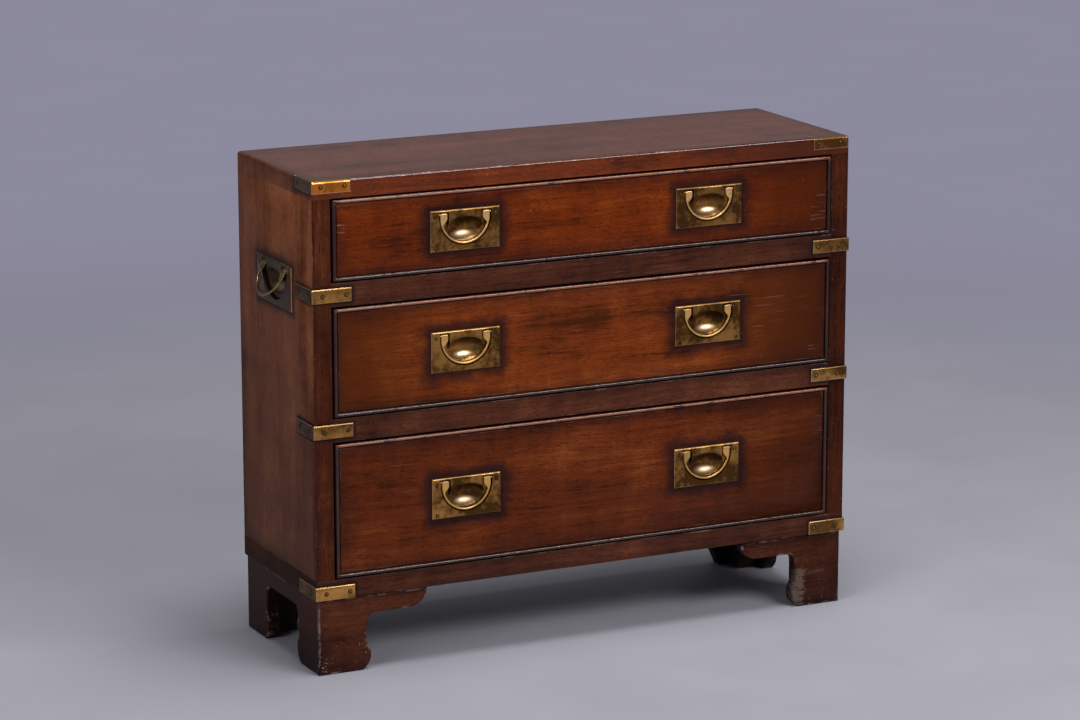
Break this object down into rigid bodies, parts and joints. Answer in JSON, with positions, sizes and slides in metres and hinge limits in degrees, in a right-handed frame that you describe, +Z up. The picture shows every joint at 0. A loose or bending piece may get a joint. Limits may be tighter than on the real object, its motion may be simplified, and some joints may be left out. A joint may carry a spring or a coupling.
{
  "type": "campaign chest",
  "caption": "Low wooden chest of graduated drawers with cock beads, brass corner straps and flush swinging bail handles, on shaped bracket feet.",
  "frame": {"origin": "on the floor, under the middle of the case", "axes": "+X to the right of someone facing the drawers, along the chest's length; -Y is the way the drawers open; +Z up"},
  "size_m": [0.802, 0.2474, 0.634],
  "materials": {
    "side_mahogany": "waxed old mahogany, upright grain",
    "top_mahogany": "waxed old mahogany with a soft sheen and worn edges",
    "rail_mahogany": "waxed old mahogany",
    "drawer_mahogany": "waxed figured mahogany, level grain",
    "bead_mahogany": "dark waxed bead, worn along its nose",
    "foot_mahogany": "waxed old mahogany, scuffed at the floor",
    "drawer_lining": "bare lining wood, darkened with age",
    "carcase_pine": "bare softwood, darkened with age",
    "bracket_brass": "rubbed brass with brown patina",
    "plate_brass": "brown patinated brass, bright on its bevels",
    "bail_brass": "patinated brass, bright where it is handled"
  },
  "bodies": {
    "case": {"side_panel_left": "side_mahogany", "side_panel_right": "side_mahogany", "top_board": "top_mahogany", "bottom_board": "rail_mahogany", "back_panel": "carcase_pine", "rail_upper": "rail_mahogany", "rail_lower": "rail_mahogany", "drawer_runners": "carcase_pine", "drawer_stops": "carcase_pine", "base_side_left": "foot_mahogany", "base_side_right": "foot_mahogany", "foot_bracket_front_left": "foot_mahogany", "foot_bracket_front_right": "foot_mahogany", "foot_bracket_back_left": "carcase_pine", "foot_bracket_back_right": "carcase_pine", "foot_blocks": "carcase_pine", "corner_bracket_left": "bracket_brass", "corner_bracket_right": "bracket_brass", "strap_upper_left": "bracket_brass", "strap_upper_right": "bracket_brass", "strap_lower_left": "bracket_brass", "strap_lower_right": "bracket_brass", "strap_base_left": "bracket_brass", "strap_base_right": "bracket_brass", "side_handle_plates": "plate_brass"},
    "upper_drawer": {"upper_drawer_front": "drawer_mahogany", "upper_drawer_side_left": "drawer_lining", "upper_drawer_side_right": "drawer_lining", "upper_drawer_back": "drawer_lining", "upper_drawer_bottom": "drawer_lining", "upper_drawer_cock_beads": "bead_mahogany", "upper_drawer_handle_plates": "plate_brass"},
    "upper_bail_left": {"upper_bail_left": "bail_brass"},
    "upper_bail_right": {"upper_bail_right": "bail_brass"},
    "middle_drawer": {"middle_drawer_front": "drawer_mahogany", "middle_drawer_side_left": "drawer_lining", "middle_drawer_side_right": "drawer_lining", "middle_drawer_back": "drawer_lining", "middle_drawer_bottom": "drawer_lining", "middle_drawer_cock_beads": "bead_mahogany", "middle_drawer_handle_plates": "plate_brass"},
    "middle_bail_left": {"middle_bail_left": "bail_brass"},
    "middle_bail_right": {"middle_bail_right": "bail_brass"},
    "lower_drawer": {"lower_drawer_front": "drawer_mahogany", "lower_drawer_side_left": "drawer_lining", "lower_drawer_side_right": "drawer_lining", "lower_drawer_back": "drawer_lining", "lower_drawer_bottom": "drawer_lining", "lower_drawer_cock_beads": "bead_mahogany", "lower_drawer_handle_plates": "plate_brass"},
    "lower_bail_left": {"lower_bail_left": "bail_brass"},
    "lower_bail_right": {"lower_bail_right": "bail_brass"},
    "side_bail_left": {"side_bail_left": "bail_brass"},
    "side_bail_right": {"side_bail_right": "bail_brass"}
  },
  "joints": [
    {"name": "upper_drawer_slide", "type": "slide", "parent": "case", "child": "upper_drawer", "axis": [0, -1, 0], "range_m": [0, 0.17]},
    {"name": "upper_bail_left_hinge", "type": "hinge", "parent": "upper_drawer", "child": "upper_bail_left", "pos_m": [-0.1729, -0.1222, 0.5779], "axis": [-1, 0, 0], "range_deg": [0, 90]},
    {"name": "upper_bail_right_hinge", "type": "hinge", "parent": "upper_drawer", "child": "upper_bail_right", "pos_m": [0.1729, -0.1222, 0.5779], "axis": [-1, 0, 0], "range_deg": [0, 90]},
    {"name": "middle_drawer_slide", "type": "slide", "parent": "case", "child": "middle_drawer", "axis": [0, -1, 0], "range_m": [0, 0.17]},
    {"name": "middle_bail_left_hinge", "type": "hinge", "parent": "middle_drawer", "child": "middle_bail_left", "pos_m": [-0.1729, -0.1222, 0.42315], "axis": [-1, 0, 0], "range_deg": [0, 90]},
    {"name": "middle_bail_right_hinge", "type": "hinge", "parent": "middle_drawer", "child": "middle_bail_right", "pos_m": [0.1729, -0.1222, 0.42315], "axis": [-1, 0, 0], "range_deg": [0, 90]},
    {"name": "lower_drawer_slide", "type": "slide", "parent": "case", "child": "lower_drawer", "axis": [0, -1, 0], "range_m": [0, 0.17]},
    {"name": "lower_bail_left_hinge", "type": "hinge", "parent": "lower_drawer", "child": "lower_bail_left", "pos_m": [-0.1729, -0.1222, 0.233], "axis": [-1, 0, 0], "range_deg": [0, 90]},
    {"name": "lower_bail_right_hinge", "type": "hinge", "parent": "lower_drawer", "child": "lower_bail_right", "pos_m": [0.1729, -0.1222, 0.233], "axis": [-1, 0, 0], "range_deg": [0, 90]},
    {"name": "side_bail_left_hinge", "type": "hinge", "parent": "case", "child": "side_bail_left", "pos_m": [-0.3797, 0, 0.50815], "axis": [0, 1, 0], "range_deg": [-28, 62]},
    {"name": "side_bail_right_hinge", "type": "hinge", "parent": "case", "child": "side_bail_right", "pos_m": [0.3797, 0, 0.50815], "axis": [0, -1, 0], "range_deg": [-28, 62]}
  ]
}
